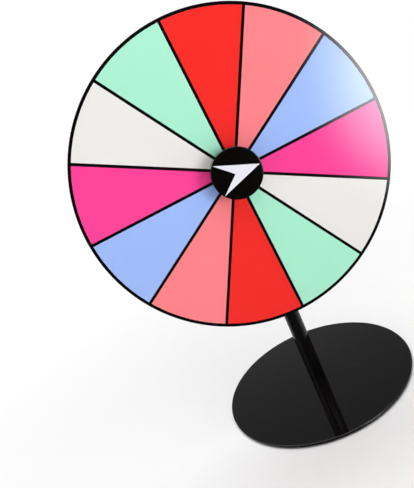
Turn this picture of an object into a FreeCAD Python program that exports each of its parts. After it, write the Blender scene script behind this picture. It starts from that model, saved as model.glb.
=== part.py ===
import FreeCAD, Part
import math
import os

import Sketcher

# Table-top game spinner: a twelve-sector wheel on two ball bearings, carried by an
# axle bolted through a round post that stands on a round steel base.
#
# Frame: millimetres, +Z up, the wheel faces -Y, +X is to the right of somebody who
# looks at the wheel.  The origin is the centre of the underside of the anti-slip pad.
# Pieces on the axle are turned about their own Z axis, and "depth" is the distance
# from the post's axis towards the player, so depth d lies at Y = -d.

document = FreeCAD.newDocument("game_spinner")

# ---------------------------------------------------------------- driving dimensions

DIMENSIONS = {
    "wheel_radius": 125.0,
    "border_width": 2.5,
    "line_width": 2.4,
    "film_thickness": 0.2,
    "film_gap": 0.08,
    "film_bore_radius": 18.3,
    "disc_thickness": 3.0,
    "disc_face_depth": 34.8,
    "sector_count": 12,
    "first_line_angle": 4.0,
    "hub_height": 208.5,
    "base_radius": 85.0,
    "base_thickness": 2.0,
    "base_edge_round": 0.6,
    "pad_radius": 82.0,
    "pad_bore_radius": 9.0,
    "pad_thickness": 1.0,
    "post_radius": 7.0,
    "post_wall": 1.0,
    "post_above_axle": 12.0,
    "plug_length": 14.0,
    "cap_plug_length": 7.0,
    "cap_plug_wall": 1.2,
    "cap_dome_height": 3.0,
    "post_screw_radius": 2.5,
    "post_screw_head_radius": 4.5,
    "post_screw_length": 16.0,
    "post_screw_key_flats": 3.0,
    "post_screw_key_depth": 1.5,
    "screw_clearance": 0.2,
    "axle_radius": 4.0,
    "axle_clearance": 0.05,
    "axle_end_depth": 43.6,
    "hex_flats": 13.0,
    "bolt_head_height": 5.3,
    "hex_chamfer_height": 0.8,
    "saddle_radius": 6.0,
    "saddle_face_depth": 9.0,
    "jam_nut_height": 4.0,
    "lock_nut_height": 6.5,
    "axle_washer_thickness": 1.2,
    "sleeve_radius": 6.0,
    "bearing_radius": 11.0,
    "bearing_width": 7.0,
    "bearing_gap": 4.0,
    "inner_shoulder_radius": 6.4,
    "outer_shoulder_radius": 8.7,
    "ball_radius": 1.984,
    "ball_pitch_radius": 7.5,
    "ball_count": 7,
    "ball_running_gap": 0.02,
    "race_groove_radius": 2.06,
    "shield_thickness": 0.3,
    "shield_setback": 0.2,
    "shield_running_gap": 0.1,
    "cage_inner_radius": 7.0,
    "cage_outer_radius": 8.0,
    "cage_width": 4.8,
    "cage_pocket_gap": 0.05,
    "barrel_radius": 14.0,
    "spigot_radius": 12.5,
    "spigot_clearance": 0.05,
    "flange_radius": 20.0,
    "flange_thickness": 3.0,
    "barrel_overhang": 0.5,
    "land_radius": 9.8,
    "clamp_thickness": 2.7,
    "clamp_radius": 18.0,
    "clamp_bore_radius": 10.0,
    "clamp_screw_count": 6,
    "clamp_screw_circle": 15.6,
    "clamp_screw_radius": 1.25,
    "clamp_screw_length": 8.0,
    "clamp_head_radius": 2.25,
    "clamp_head_height": 1.5,
    "clamp_key_flats": 1.5,
    "clamp_key_depth": 0.9,
    "clamp_screw_clearance": 0.1,
    "pointer_radius": 19.7,
    "pointer_wall": 1.2,
    "pointer_face_wall": 2.0,
    "pointer_face_depth": 51.0,
    "pointer_back_depth": 35.8,
    "pointer_edge_round": 0.6,
    "boss_radius": 9.3,
    "boss_back_depth": 38.0,
    "boss_pocket_depth": 6.2,
    "arrow_thickness": 0.4,
    "arrow_tip": 18.0,
    "arrow_tail": 14.9,
    "arrow_half_width": 12.0,
    "arrow_notch": 1.4,
}

sheet = document.addObject("Spreadsheet::Sheet", "Dims")
for row, (alias, value) in enumerate(DIMENSIONS.items(), start=1):
    sheet.set(f"A{row}", alias.replace("_", " "))
    sheet.set(f"B{row}", str(value))
    sheet.setAlias(f"B{row}", alias)
document.recompute()


def size(expression):
    """The number that an expression of sheet names comes to."""
    return float(sheet.evalExpression(expression))


# ------------------------------------------------------------------------- placements

ON_AXLE = FreeCAD.Rotation(FreeCAD.Vector(1, 0, 0), 90)


def at_height(height):
    """A place on the post's axis, upright."""
    return FreeCAD.Placement(FreeCAD.Vector(0, 0, size(height)), FreeCAD.Rotation())


def on_axle(depth, turn=0.0):
    """A place on the axle whose own Z points at the player, turned about the axle."""
    about_axle = FreeCAD.Rotation(FreeCAD.Vector(0, 0, 1), turn)
    base = FreeCAD.Vector(0, -size(depth), size("hub_height"))
    return FreeCAD.Placement(base, ON_AXLE.multiply(about_axle))


# -------------------------------------------------------------------- sketch helpers

def new_body(label):
    """An empty body; a repeated piece may be several separate solids in it."""
    body = document.addObject("PartDesign::Body", label)
    body.Label = label
    body.AllowCompound = True
    return body


def new_sketch(body, plane_role, name):
    """An empty sketch on one of the body's own origin planes."""
    sketch = body.newObject("Sketcher::SketchObject", f"{body.Label}_{name}")
    plane = next(item for item in body.Origin.OriginFeatures if item.Role == plane_role)
    sketch.AttachmentSupport = [(plane, "")]
    sketch.MapMode = "FlatFace"
    return sketch


def pin_corner(sketch, edge, axis_name, expression):
    """Ties one coordinate of the start of an edge to the sheet."""
    if expression == "0":
        other_axis = -2 if axis_name == "DistanceX" else -1
        sketch.addConstraint(Sketcher.Constraint("PointOnObject", edge, 1, other_axis))
        return
    constraint = Sketcher.Constraint(axis_name, -1, 1, edge, 1, size(expression))
    index = sketch.addConstraint(constraint)
    sketch.setExpression(f"Constraints[{index}]", expression)


def draw_outline(sketch, corners):
    """A closed outline of straight edges, its corners given as pairs of expressions."""
    spots = [FreeCAD.Vector(size(x), size(y), 0) for x, y in corners]
    for index, spot in enumerate(spots):
        sketch.addGeometry(Part.LineSegment(spot, spots[(index + 1) % len(spots)]), False)
    for index in range(len(spots)):
        following = (index + 1) % len(spots)
        sketch.addConstraint(Sketcher.Constraint("Coincident", index, 2, following, 1))
    for index, (x, y) in enumerate(corners):
        pin_corner(sketch, index, "DistanceX", x)
        pin_corner(sketch, index, "DistanceY", y)


def draw_circle(sketch, radius, centre_x="0"):
    """A circle on the sketch's X axis, its radius and centre tied to the sheet."""
    middle = FreeCAD.Vector(size(centre_x), 0, 0)
    circle = Part.Circle(middle, FreeCAD.Vector(0, 0, 1), size(radius))
    edge = sketch.addGeometry(circle, False)
    index = sketch.addConstraint(Sketcher.Constraint("Radius", edge, size(radius)))
    sketch.setExpression(f"Constraints[{index}]", radius)
    sketch.addConstraint(Sketcher.Constraint("PointOnObject", edge, 3, -1))
    if centre_x == "0":
        sketch.addConstraint(Sketcher.Constraint("PointOnObject", edge, 3, -2))
        return
    offset = Sketcher.Constraint("DistanceX", -1, 1, edge, 3, size(centre_x))
    index = sketch.addConstraint(offset)
    sketch.setExpression(f"Constraints[{index}]", centre_x)


# ------------------------------------------------------------------- feature helpers

def turn_profile(body, corners):
    """Revolves a (radius, height) outline about the body's Z axis."""
    sketch = new_sketch(body, "XZ_Plane", "profile")
    draw_outline(sketch, corners)
    turned = body.newObject("PartDesign::Revolution", f"{body.Label}_turned")
    turned.Profile = sketch
    turned.ReferenceAxis = (sketch, ["V_Axis"])
    turned.Angle = 360
    document.recompute()
    return turned


def pad_sketch(body, sketch, thickness):
    """Thickens a sketch upwards along the body's Z axis."""
    pad = body.newObject("PartDesign::Pad", f"{sketch.Label}_pad")
    pad.Profile = sketch
    pad.setExpression("Length", thickness)
    document.recompute()
    return pad


def cut_through(body, sketch):
    """Cuts a sketch through the whole body, both ways from its plane."""
    before = body.Shape.Volume
    pocket = body.newObject("PartDesign::Pocket", f"{sketch.Label}_cut")
    pocket.Profile = sketch
    pocket.Type = "ThroughAll"
    pocket.Midplane = True
    document.recompute()
    check_cut(body, before)
    return pocket


def check_cut(body, volume_before):
    """Stops where a cut took nothing away."""
    if body.Shape.Volume >= volume_before - 1e-6:
        raise RuntimeError(f"a cut in {body.Label} removed nothing")


def repeat_around(body, features, count):
    """Repeats features evenly about the body's Z axis."""
    pattern = body.newObject("PartDesign::PolarPattern", f"{body.Label}_pattern")
    pattern.Originals = features
    axis = next(item for item in body.Origin.OriginFeatures if item.Role == "Z_Axis")
    pattern.Axis = (axis, [""])
    pattern.Angle = 360
    if isinstance(count, str):
        pattern.setExpression("Occurrences", count)
    else:
        pattern.Occurrences = count
    body.Tip = pattern
    document.recompute()
    return pattern


def round_rim(body, feature, radius, heights, rounding):
    """Rounds the circular edges of one radius at the given heights of the body."""
    names = []
    for index, edge in enumerate(feature.Shape.Edges, start=1):
        if not isinstance(edge.Curve, Part.Circle):
            continue
        same_radius = abs(edge.Curve.Radius - size(radius)) < 1e-6
        if same_radius and any(abs(edge.Curve.Center.z - size(h)) < 1e-6 for h in heights):
            names.append(f"Edge{index}")
    fillet = body.newObject("PartDesign::Fillet", f"{body.Label}_rounding")
    fillet.Base = (feature, names)
    fillet.setExpression("Radius", rounding)
    document.recompute()


def add_prism(body, kind, flats, height, start):
    """A six-sided prism, added or cut, given by the width across its flats."""
    prism = body.newObject(f"PartDesign::{kind}Prism", f"{body.Label}_{kind.lower()}_hex")
    prism.Polygon = 6
    prism.setExpression("Circumradius", f"({flats}) / sqrt(3)")
    prism.setExpression("Height", height)
    prism.setExpression("Placement.Base.z", start)
    document.recompute()
    return prism


def chamfer_hex(body, flats, face, level):
    """Turns a hexagon's corners down, from its end face to a level on its side."""
    corner = f"({flats}) / sqrt(3)"
    sketch = new_sketch(body, "XZ_Plane", "corner_cut")
    draw_outline(sketch, [
        (f"({flats}) / 2", face),
        (f"{corner} + 1", face),
        (f"{corner} + 1", level),
        (corner, level),
    ])
    before = body.Shape.Volume
    groove = body.newObject("PartDesign::Groove", f"{body.Label}_corners")
    groove.Profile = sketch
    groove.ReferenceAxis = (sketch, ["V_Axis"])
    groove.Angle = 360
    document.recompute()
    check_cut(body, before)


def make_ring(label, inner, outer, height, place):
    """A plain ring: spacer, washer, pad or plug."""
    body = new_body(label)
    turn_profile(body, [(inner, "0"), (outer, "0"), (outer, height), (inner, height)])
    body.Placement = place
    return body


# ------------------------------------------------------------------------- the stand

base_top = "(Dims.pad_thickness + Dims.base_thickness)"
post_length = f"(Dims.hub_height + Dims.post_above_axle - {base_top})"


def make_base_plate():
    """The round steel plate, countersunk from below for the post screw."""
    body = new_body("base_plate")
    hole = "(Dims.post_screw_radius + Dims.screw_clearance)"
    cone_height = f"(Dims.post_screw_head_radius - {hole})"
    plate = turn_profile(body, [
        ("Dims.post_screw_head_radius", "0"),
        ("Dims.base_radius", "0"),
        ("Dims.base_radius", "Dims.base_thickness"),
        (hole, "Dims.base_thickness"),
        (hole, cone_height),
    ])
    round_rim(body, plate, "Dims.base_radius", ["0", "Dims.base_thickness"],
              "Dims.base_edge_round")
    body.Placement = at_height("Dims.pad_thickness")
    return body


def make_post_screw():
    """The countersunk socket screw that pulls the post down on the plate."""
    body = new_body("post_screw")
    cone_height = "(Dims.post_screw_head_radius - Dims.post_screw_radius)"
    turn_profile(body, [
        ("0", "0"),
        ("Dims.post_screw_head_radius", "0"),
        ("Dims.post_screw_radius", cone_height),
        ("Dims.post_screw_radius", "Dims.post_screw_length"),
        ("0", "Dims.post_screw_length"),
    ])
    add_prism(body, "Subtractive", "Dims.post_screw_key_flats",
              "Dims.post_screw_key_depth", "0")
    body.Placement = at_height("Dims.pad_thickness")
    return body


def make_post_tube():
    """The round post, cross-drilled for the axle."""
    body = new_body("post_tube")
    inner = "(Dims.post_radius - Dims.post_wall)"
    turn_profile(body, [
        (inner, "0"),
        ("Dims.post_radius", "0"),
        ("Dims.post_radius", post_length),
        (inner, post_length),
    ])
    sketch = new_sketch(body, "XZ_Plane", "axle_hole")
    radius = "Dims.axle_radius + Dims.axle_clearance"
    axle_at = FreeCAD.Vector(0, size(f"{post_length} - Dims.post_above_axle"), 0)
    circle = Part.Circle(axle_at, FreeCAD.Vector(0, 0, 1), size(radius))
    sketch.addGeometry(circle, False)
    index = sketch.addConstraint(Sketcher.Constraint("Radius", 0, size(radius)))
    sketch.setExpression(f"Constraints[{index}]", radius)
    sketch.addConstraint(Sketcher.Constraint("PointOnObject", 0, 3, -2))
    index = sketch.addConstraint(Sketcher.Constraint("DistanceY", -1, 1, 0, 3, axle_at.y))
    sketch.setExpression(f"Constraints[{index}]", f"{post_length} - Dims.post_above_axle")
    cut_through(body, sketch)
    body.Placement = at_height(base_top)
    return body


def make_post_cap():
    """The moulded plug that closes the top of the post."""
    body = new_body("post_cap")
    outer = "(Dims.post_radius - Dims.post_wall)"
    inner = f"({outer} - Dims.cap_plug_wall)"
    top = "(Dims.cap_plug_length + Dims.cap_dome_height)"
    turn_profile(body, [
        (inner, "0"),
        (outer, "0"),
        (outer, "Dims.cap_plug_length"),
        ("Dims.post_radius", "Dims.cap_plug_length"),
        ("Dims.post_radius", f"{top} - Dims.cap_dome_height / 2"),
        ("Dims.post_radius - Dims.cap_dome_height / 2", top),
        ("0", top),
        ("0", "Dims.cap_plug_length"),
        (inner, "Dims.cap_plug_length"),
    ])
    body.Placement = at_height(f"{base_top} + {post_length} - Dims.cap_plug_length")
    return body


# -------------------------------------------------------------------------- the axle

jam_nut_face = "(Dims.saddle_face_depth + Dims.jam_nut_height)"
front_bearing_back = "(Dims.disc_face_depth - Dims.bearing_width)"
rear_bearing_face = f"({front_bearing_back} - Dims.bearing_gap)"
rear_bearing_back = f"({rear_bearing_face} - Dims.bearing_width)"
axle_fit = "(Dims.axle_radius + Dims.axle_clearance)"


def make_axle_bolt():
    """The hexagon bolt that runs through the post and carries the bearings."""
    body = new_body("axle_bolt")
    add_prism(body, "Additive", "Dims.hex_flats", "Dims.bolt_head_height", "0")
    chamfer_hex(body, "Dims.hex_flats", "0", "Dims.hex_chamfer_height")
    sketch = new_sketch(body, "XY_Plane", "shank")
    draw_circle(sketch, "Dims.axle_radius")
    shank = "Dims.bolt_head_height + Dims.saddle_face_depth + Dims.axle_end_depth"
    pad_sketch(body, sketch, shank)
    body.Placement = on_axle("-(Dims.saddle_face_depth + Dims.bolt_head_height)")
    return body


def make_saddle(label, depth, turn):
    """A saddle washer: flat outside, hollowed to sit round the post."""
    body = new_body(label)
    sketch = new_sketch(body, "XY_Plane", "outline")
    draw_circle(sketch, "Dims.saddle_radius")
    draw_circle(sketch, axle_fit)
    pad_sketch(body, sketch, "Dims.saddle_face_depth")
    post_section = new_sketch(body, "XZ_Plane", "post_section")
    draw_circle(post_section, "Dims.post_radius")
    cut_through(body, post_section)
    facing = FreeCAD.Rotation(FreeCAD.Vector(0, 0, 1), turn)
    middle = FreeCAD.Vector(0, -size(depth), size("hub_height"))
    body.Placement = FreeCAD.Placement(middle, facing.multiply(ON_AXLE))
    return body


def make_nut(label, height, depth):
    """A hexagon nut on the axle, its outer corners turned down."""
    body = new_body(label)
    add_prism(body, "Additive", "Dims.hex_flats", height, "0")
    chamfer_hex(body, "Dims.hex_flats", height, f"({height}) - Dims.hex_chamfer_height")
    sketch = new_sketch(body, "XY_Plane", "thread")
    draw_circle(sketch, "Dims.axle_radius")
    cut_through(body, sketch)
    body.Placement = on_axle(depth)
    return body


# ---------------------------------------------------------------------- the bearings

def make_inner_ring(label, depth):
    """An inner ring with its rounded race."""
    ring = make_ring(label, "Dims.axle_radius", "Dims.inner_shoulder_radius",
                     "Dims.bearing_width", on_axle(depth))
    race = "(Dims.ball_pitch_radius - Dims.ball_radius - Dims.ball_running_gap)"
    cut_race(ring, f"{race} + Dims.race_groove_radius")
    return ring


def make_outer_ring(label, depth):
    """An outer ring with its rounded race."""
    ring = make_ring(label, "Dims.outer_shoulder_radius", "Dims.bearing_radius",
                     "Dims.bearing_width", on_axle(depth))
    race = "(Dims.ball_pitch_radius + Dims.ball_radius + Dims.ball_running_gap)"
    cut_race(ring, f"{race} - Dims.race_groove_radius")
    return ring


def cut_race(body, centre_radius):
    """Turns the groove in which the balls run."""
    before = body.Shape.Volume
    sketch = new_sketch(body, "XZ_Plane", "race")
    radius = "Dims.race_groove_radius"
    middle = FreeCAD.Vector(size(centre_radius), size("Dims.bearing_width / 2"), 0)
    sketch.addGeometry(Part.Circle(middle, FreeCAD.Vector(0, 0, 1), size(radius)), False)
    index = sketch.addConstraint(Sketcher.Constraint("Radius", 0, size(radius)))
    sketch.setExpression(f"Constraints[{index}]", radius)
    index = sketch.addConstraint(Sketcher.Constraint("DistanceX", -1, 1, 0, 3, middle.x))
    sketch.setExpression(f"Constraints[{index}]", centre_radius)
    index = sketch.addConstraint(Sketcher.Constraint("DistanceY", -1, 1, 0, 3, middle.y))
    sketch.setExpression(f"Constraints[{index}]", "Dims.bearing_width / 2")
    groove = body.newObject("PartDesign::Groove", f"{body.Label}_race_cut")
    groove.Profile = sketch
    groove.ReferenceAxis = (sketch, ["V_Axis"])
    groove.Angle = 360
    document.recompute()
    check_cut(body, before)


def make_cage(label, depth):
    """The ring that keeps the balls apart."""
    body = new_body(label)
    low = "((Dims.bearing_width - Dims.cage_width) / 2)"
    high = f"({low} + Dims.cage_width)"
    turn_profile(body, [
        ("Dims.cage_inner_radius", low),
        ("Dims.cage_outer_radius", low),
        ("Dims.cage_outer_radius", high),
        ("Dims.cage_inner_radius", high),
    ])
    before = body.Shape.Volume
    window = body.newObject("PartDesign::SubtractiveCylinder", f"{label}_window")
    radially = FreeCAD.Rotation(FreeCAD.Vector(0, 1, 0), 90)
    window.Placement = FreeCAD.Placement(FreeCAD.Vector(0, 0, 0), radially)
    window.setExpression("Radius", "Dims.ball_radius + Dims.cage_pocket_gap")
    window.setExpression("Height", "2 * Dims.cage_outer_radius")
    window.setExpression("Placement.Base.z", "Dims.bearing_width / 2")
    document.recompute()
    repeat_around(body, [window], "Dims.ball_count")
    check_cut(body, before)
    body.Placement = on_axle(depth)
    return body


def make_balls(label, depth):
    """The balls of one bearing."""
    body = new_body(label)
    ball = body.newObject("PartDesign::AdditiveSphere", f"{label}_ball")
    ball.setExpression("Radius", "Dims.ball_radius")
    ball.setExpression("Placement.Base.x", "Dims.ball_pitch_radius")
    ball.setExpression("Placement.Base.z", "Dims.bearing_width / 2")
    document.recompute()
    repeat_around(body, [ball], "Dims.ball_count")
    body.Placement = on_axle(depth)
    return body


def make_shields(label, depth):
    """The pair of thin dust shields pressed into the outer ring."""
    body = new_body(label)
    inner = "(Dims.inner_shoulder_radius + Dims.shield_running_gap)"
    starts = ["Dims.shield_setback",
              "Dims.bearing_width - Dims.shield_setback - Dims.shield_thickness"]
    for start in starts:
        turn_profile(body, [
            (inner, start),
            ("Dims.outer_shoulder_radius", start),
            ("Dims.outer_shoulder_radius", f"({start}) + Dims.shield_thickness"),
            (inner, f"({start}) + Dims.shield_thickness"),
        ])
    body.Placement = on_axle(depth)
    return body


# ------------------------------------------------------------------------- the wheel

disc_back = "(Dims.disc_face_depth - Dims.disc_thickness)"
flange_back = f"({disc_back} - Dims.flange_thickness)"
barrel_back = f"({rear_bearing_back} - Dims.barrel_overhang)"


def drill_screw_circle(body, radius):
    """Drills the clamp screw holes round the axle."""
    sketch = new_sketch(body, "XY_Plane", "screw_hole")
    draw_circle(sketch, radius, "Dims.clamp_screw_circle")
    hole = cut_through(body, sketch)
    repeat_around(body, [hole], "Dims.clamp_screw_count")


def make_wheel_disc():
    """The milky acrylic disc."""
    body = new_body("wheel_disc")
    sketch = new_sketch(body, "XY_Plane", "outline")
    draw_circle(sketch, "Dims.wheel_radius")
    draw_circle(sketch, "Dims.spigot_radius + Dims.spigot_clearance")
    pad_sketch(body, sketch, "Dims.disc_thickness")
    drill_screw_circle(body, "Dims.clamp_screw_radius + Dims.clamp_screw_clearance")
    body.Placement = on_axle(disc_back)
    return body


def make_line_film():
    """The black border and the twelve black lines, in one cut film."""
    body = new_body("black_line_film")
    border = new_sketch(body, "XY_Plane", "border")
    draw_circle(border, "Dims.wheel_radius")
    draw_circle(border, "Dims.wheel_radius - Dims.border_width")
    pad_sketch(body, border, "Dims.film_thickness")
    line = new_sketch(body, "XY_Plane", "line")
    inner = "sqrt(Dims.film_bore_radius ^ 2 - Dims.line_width ^ 2 / 4)"
    outer = "Dims.wheel_radius - Dims.border_width / 2"
    draw_outline(line, [
        (inner, "-Dims.line_width / 2"),
        (outer, "-Dims.line_width / 2"),
        (outer, "Dims.line_width / 2"),
        (inner, "Dims.line_width / 2"),
    ])
    bar = pad_sketch(body, line, "Dims.film_thickness")
    repeat_around(body, [bar], "Dims.sector_count")
    body.Placement = on_axle("Dims.disc_face_depth", size("Dims.first_line_angle"))
    return body


def make_sector_film(label, sector):
    """The two opposite sectors of one colour, counted from the first line."""
    body = new_body(label)
    sketch = new_sketch(body, "XY_Plane", "sector")
    sector_radius = "(Dims.wheel_radius - Dims.border_width - Dims.film_gap)"
    inner = size("Dims.film_bore_radius")
    outer = size(sector_radius)
    inner_reach = sector_reach("Dims.film_bore_radius")
    outer_reach = sector_reach(sector_radius)
    inner_angle = math.radians(size(inner_reach))
    outer_angle = math.radians(size(outer_reach))
    upper_inner = polar(inner, inner_angle)
    upper_outer = polar(outer, outer_angle)
    lower_inner = polar(inner, -inner_angle)
    lower_outer = polar(outer, -outer_angle)
    upper_inner_y = f"Dims.film_bore_radius * sin({inner_reach})"
    upper_outer_y = f"{sector_radius} * sin({outer_reach})"
    axis = FreeCAD.Vector(0, 0, 1)
    middle = FreeCAD.Vector(0, 0, 0)
    inner_arc = Part.ArcOfCircle(Part.Circle(middle, axis, inner), -inner_angle, inner_angle)
    outer_arc = Part.ArcOfCircle(Part.Circle(middle, axis, outer), -outer_angle, outer_angle)
    sketch.addGeometry(Part.LineSegment(lower_inner, lower_outer), False)
    sketch.addGeometry(outer_arc, False)
    sketch.addGeometry(Part.LineSegment(upper_outer, upper_inner), False)
    sketch.addGeometry(inner_arc, False)
    for constraint in (
        Sketcher.Constraint("Coincident", 0, 2, 1, 1),
        Sketcher.Constraint("Coincident", 1, 2, 2, 1),
        Sketcher.Constraint("Coincident", 2, 2, 3, 2),
        Sketcher.Constraint("Coincident", 3, 1, 0, 1),
        Sketcher.Constraint("Coincident", 1, 3, -1, 1),
        Sketcher.Constraint("Coincident", 3, 3, -1, 1),
    ):
        sketch.addConstraint(constraint)
    bound = [
        (Sketcher.Constraint("Radius", 1, outer), sector_radius),
        (Sketcher.Constraint("Radius", 3, inner), "Dims.film_bore_radius"),
        (Sketcher.Constraint("DistanceY", -1, 1, 2, 1, upper_outer.y), upper_outer_y),
        (Sketcher.Constraint("DistanceY", -1, 1, 2, 2, upper_inner.y), upper_inner_y),
        (Sketcher.Constraint("DistanceY", -1, 1, 0, 1, lower_inner.y), f"-{upper_inner_y}"),
        (Sketcher.Constraint("DistanceY", -1, 1, 0, 2, lower_outer.y), f"-{upper_outer_y}"),
    ]
    for constraint, expression in bound:
        index = sketch.addConstraint(constraint)
        sketch.setExpression(f"Constraints[{index}]", expression)
    wedge = pad_sketch(body, sketch, "Dims.film_thickness")
    repeat_around(body, [wedge], 2)
    step = 360 / size("Dims.sector_count")
    turn = size("Dims.first_line_angle") + (sector + 0.5) * step
    body.Placement = on_axle("Dims.disc_face_depth", turn)
    return body


def sector_reach(radius):
    """The angle from a sector's middle to its line's edge, at a radius."""
    return f"(180 deg / Dims.sector_count - asin(Dims.line_width / 2 / {radius}))"


def polar(radius, angle):
    """The point at a radius and an angle in radians."""
    return FreeCAD.Vector(radius * math.cos(angle), radius * math.sin(angle), 0)


def make_bearing_housing():
    """The flanged housing behind the disc, bored from both ends for the bearings."""
    body = new_body("bearing_housing")
    corners = [
        ("Dims.bearing_radius", barrel_back),
        ("Dims.barrel_radius", barrel_back),
        ("Dims.barrel_radius", flange_back),
        ("Dims.flange_radius", flange_back),
        ("Dims.flange_radius", disc_back),
        ("Dims.spigot_radius", disc_back),
        ("Dims.spigot_radius", "Dims.disc_face_depth"),
        ("Dims.bearing_radius", "Dims.disc_face_depth"),
        ("Dims.bearing_radius", front_bearing_back),
        ("Dims.land_radius", front_bearing_back),
        ("Dims.land_radius", rear_bearing_face),
        ("Dims.bearing_radius", rear_bearing_face),
    ]
    turn_profile(body, corners)
    drill_screw_circle(body, "Dims.clamp_screw_radius")
    body.Placement = on_axle("0")
    return body


def make_clamp_ring():
    """The ring in front of the disc that holds the front bearing in."""
    body = new_body("clamp_ring")
    turn_profile(body, [
        ("Dims.clamp_bore_radius", "0"),
        ("Dims.clamp_radius", "0"),
        ("Dims.clamp_radius", "Dims.clamp_thickness"),
        ("Dims.clamp_bore_radius", "Dims.clamp_thickness"),
    ])
    drill_screw_circle(body, "Dims.clamp_screw_radius + Dims.clamp_screw_clearance")
    body.Placement = on_axle("Dims.disc_face_depth")
    return body


def make_clamp_screws():
    """The socket screws that pull ring, disc and flange together."""
    body = new_body("clamp_screws")
    sketch = new_sketch(body, "XY_Plane", "shank")
    draw_circle(sketch, "Dims.clamp_screw_radius", "Dims.clamp_screw_circle")
    shank = pad_sketch(body, sketch, "Dims.clamp_screw_length + Dims.clamp_head_height")
    head = body.newObject("PartDesign::AdditiveCylinder", "clamp_screws_head")
    head.setExpression("Radius", "Dims.clamp_head_radius")
    head.setExpression("Height", "Dims.clamp_head_height")
    head.setExpression("Placement.Base.x", "Dims.clamp_screw_circle")
    head.setExpression("Placement.Base.z", "Dims.clamp_screw_length")
    document.recompute()
    before = body.Shape.Volume
    key = body.newObject("PartDesign::SubtractivePrism", "clamp_screws_key")
    key.Polygon = 6
    key.setExpression("Circumradius", "Dims.clamp_key_flats / sqrt(3)")
    key.setExpression("Height", "Dims.clamp_key_depth")
    key.setExpression("Placement.Base.x", "Dims.clamp_screw_circle")
    key.setExpression("Placement.Base.z",
                      "Dims.clamp_screw_length + Dims.clamp_head_height - Dims.clamp_key_depth")
    document.recompute()
    check_cut(body, before)
    repeat_around(body, [shank, head, key], "Dims.clamp_screw_count")
    seat = "Dims.disc_face_depth + Dims.clamp_thickness - Dims.clamp_screw_length"
    body.Placement = on_axle(seat)
    return body


# ----------------------------------------------------------------------- the pointer

def make_pointer_cap():
    """The black cap, pressed by its hexagon pocket over the lock nut."""
    body = new_body("pointer_cap")
    start = "Dims.pointer_back_depth"
    boss = f"(Dims.boss_back_depth - {start})"
    face = f"(Dims.pointer_face_depth - {start})"
    under_face = f"({face} - Dims.pointer_face_wall)"
    inner = "(Dims.pointer_radius - Dims.pointer_wall)"
    shell = turn_profile(body, [
        ("0", boss),
        ("Dims.boss_radius", boss),
        ("Dims.boss_radius", under_face),
        (inner, under_face),
        (inner, "0"),
        ("Dims.pointer_radius", "0"),
        ("Dims.pointer_radius", face),
        ("0", face),
    ])
    round_rim(body, shell, "Dims.pointer_radius", [face], "Dims.pointer_edge_round")
    before = body.Shape.Volume
    add_prism(body, "Subtractive", "Dims.hex_flats", "Dims.boss_pocket_depth", boss)
    check_cut(body, before)
    body.Placement = on_axle(start)
    return body


def make_pointer_arrow():
    """The white notched arrow on the cap, pointing to +X."""
    body = new_body("pointer_arrow")
    sketch = new_sketch(body, "XY_Plane", "outline")
    draw_outline(sketch, [
        ("Dims.arrow_tip", "0"),
        ("-Dims.arrow_tail", "Dims.arrow_half_width"),
        ("-Dims.arrow_notch", "0"),
        ("-Dims.arrow_tail", "-Dims.arrow_half_width"),
    ])
    pad_sketch(body, sketch, "Dims.arrow_thickness")
    body.Placement = on_axle("Dims.pointer_face_depth")
    return body


# ---------------------------------------------------------------------- the assembly

SECTOR_COLOURS = ["blue", "salmon", "red", "mint", "white", "pink"]

pieces = [
    make_ring("base_pad", "Dims.pad_bore_radius", "Dims.pad_radius", "Dims.pad_thickness",
              at_height("0")),
    make_base_plate(),
    make_post_screw(),
    make_ring("post_plug", "Dims.post_screw_radius", "Dims.post_radius - Dims.post_wall",
              "Dims.plug_length", at_height(base_top)),
    make_post_tube(),
    make_post_cap(),
    make_axle_bolt(),
    make_saddle("front_saddle_washer", "0", 0),
    make_saddle("rear_saddle_washer", "0", 180),
    make_nut("jam_nut", "Dims.jam_nut_height", "Dims.saddle_face_depth"),
    make_ring("rear_spacer_sleeve", axle_fit, "Dims.sleeve_radius",
              f"{rear_bearing_back} - {jam_nut_face}", on_axle(jam_nut_face)),
    make_ring("middle_spacer_sleeve", axle_fit, "Dims.sleeve_radius", "Dims.bearing_gap",
              on_axle(rear_bearing_face)),
    make_ring("axle_washer", axle_fit, "Dims.sleeve_radius", "Dims.axle_washer_thickness",
              on_axle("Dims.disc_face_depth")),
    make_nut("lock_nut", "Dims.lock_nut_height",
             "Dims.disc_face_depth + Dims.axle_washer_thickness"),
]
for name, depth in (("rear", rear_bearing_back), ("front", front_bearing_back)):
    pieces.append(make_inner_ring(f"{name}_bearing_inner_ring", depth))
    pieces.append(make_outer_ring(f"{name}_bearing_outer_ring", depth))
    pieces.append(make_cage(f"{name}_ball_cage", depth))
    pieces.append(make_balls(f"{name}_bearing_balls", depth))
    pieces.append(make_shields(f"{name}_bearing_shields", depth))
pieces.append(make_wheel_disc())
pieces.append(make_line_film())
for sector, colour in enumerate(SECTOR_COLOURS):
    pieces.append(make_sector_film(f"{colour}_sector_film", sector))
pieces.append(make_bearing_housing())
pieces.append(make_clamp_ring())
pieces.append(make_clamp_screws())
pieces.append(make_pointer_cap())
pieces.append(make_pointer_arrow())

document.recompute()

# ---------------------------------------------------------------- checks and writing

for item in document.Objects:
    if "Invalid" in item.State or "Error" in item.State:
        raise RuntimeError(f"{item.Label} failed: {item.State}")
for piece in pieces:
    if piece.Shape.isNull() or not piece.Shape.isValid():
        raise RuntimeError(f"{piece.Label} has no valid shape")

os.makedirs("parts", exist_ok=True)
for piece in pieces:
    piece.Shape.exportStep(f"parts/{piece.Label}.step")
    solids = len(piece.Shape.Solids)
    print(f"{piece.Label}: {solids} solid(s), {piece.Shape.Volume:.1f} mm3")
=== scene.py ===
"""Looks of a table-top game spinner, modelled piece by piece round its CAD frame."""

import logging
import math
from dataclasses import dataclass
from enum import Enum

import bpy
from mathutils import Matrix, Vector


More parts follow.
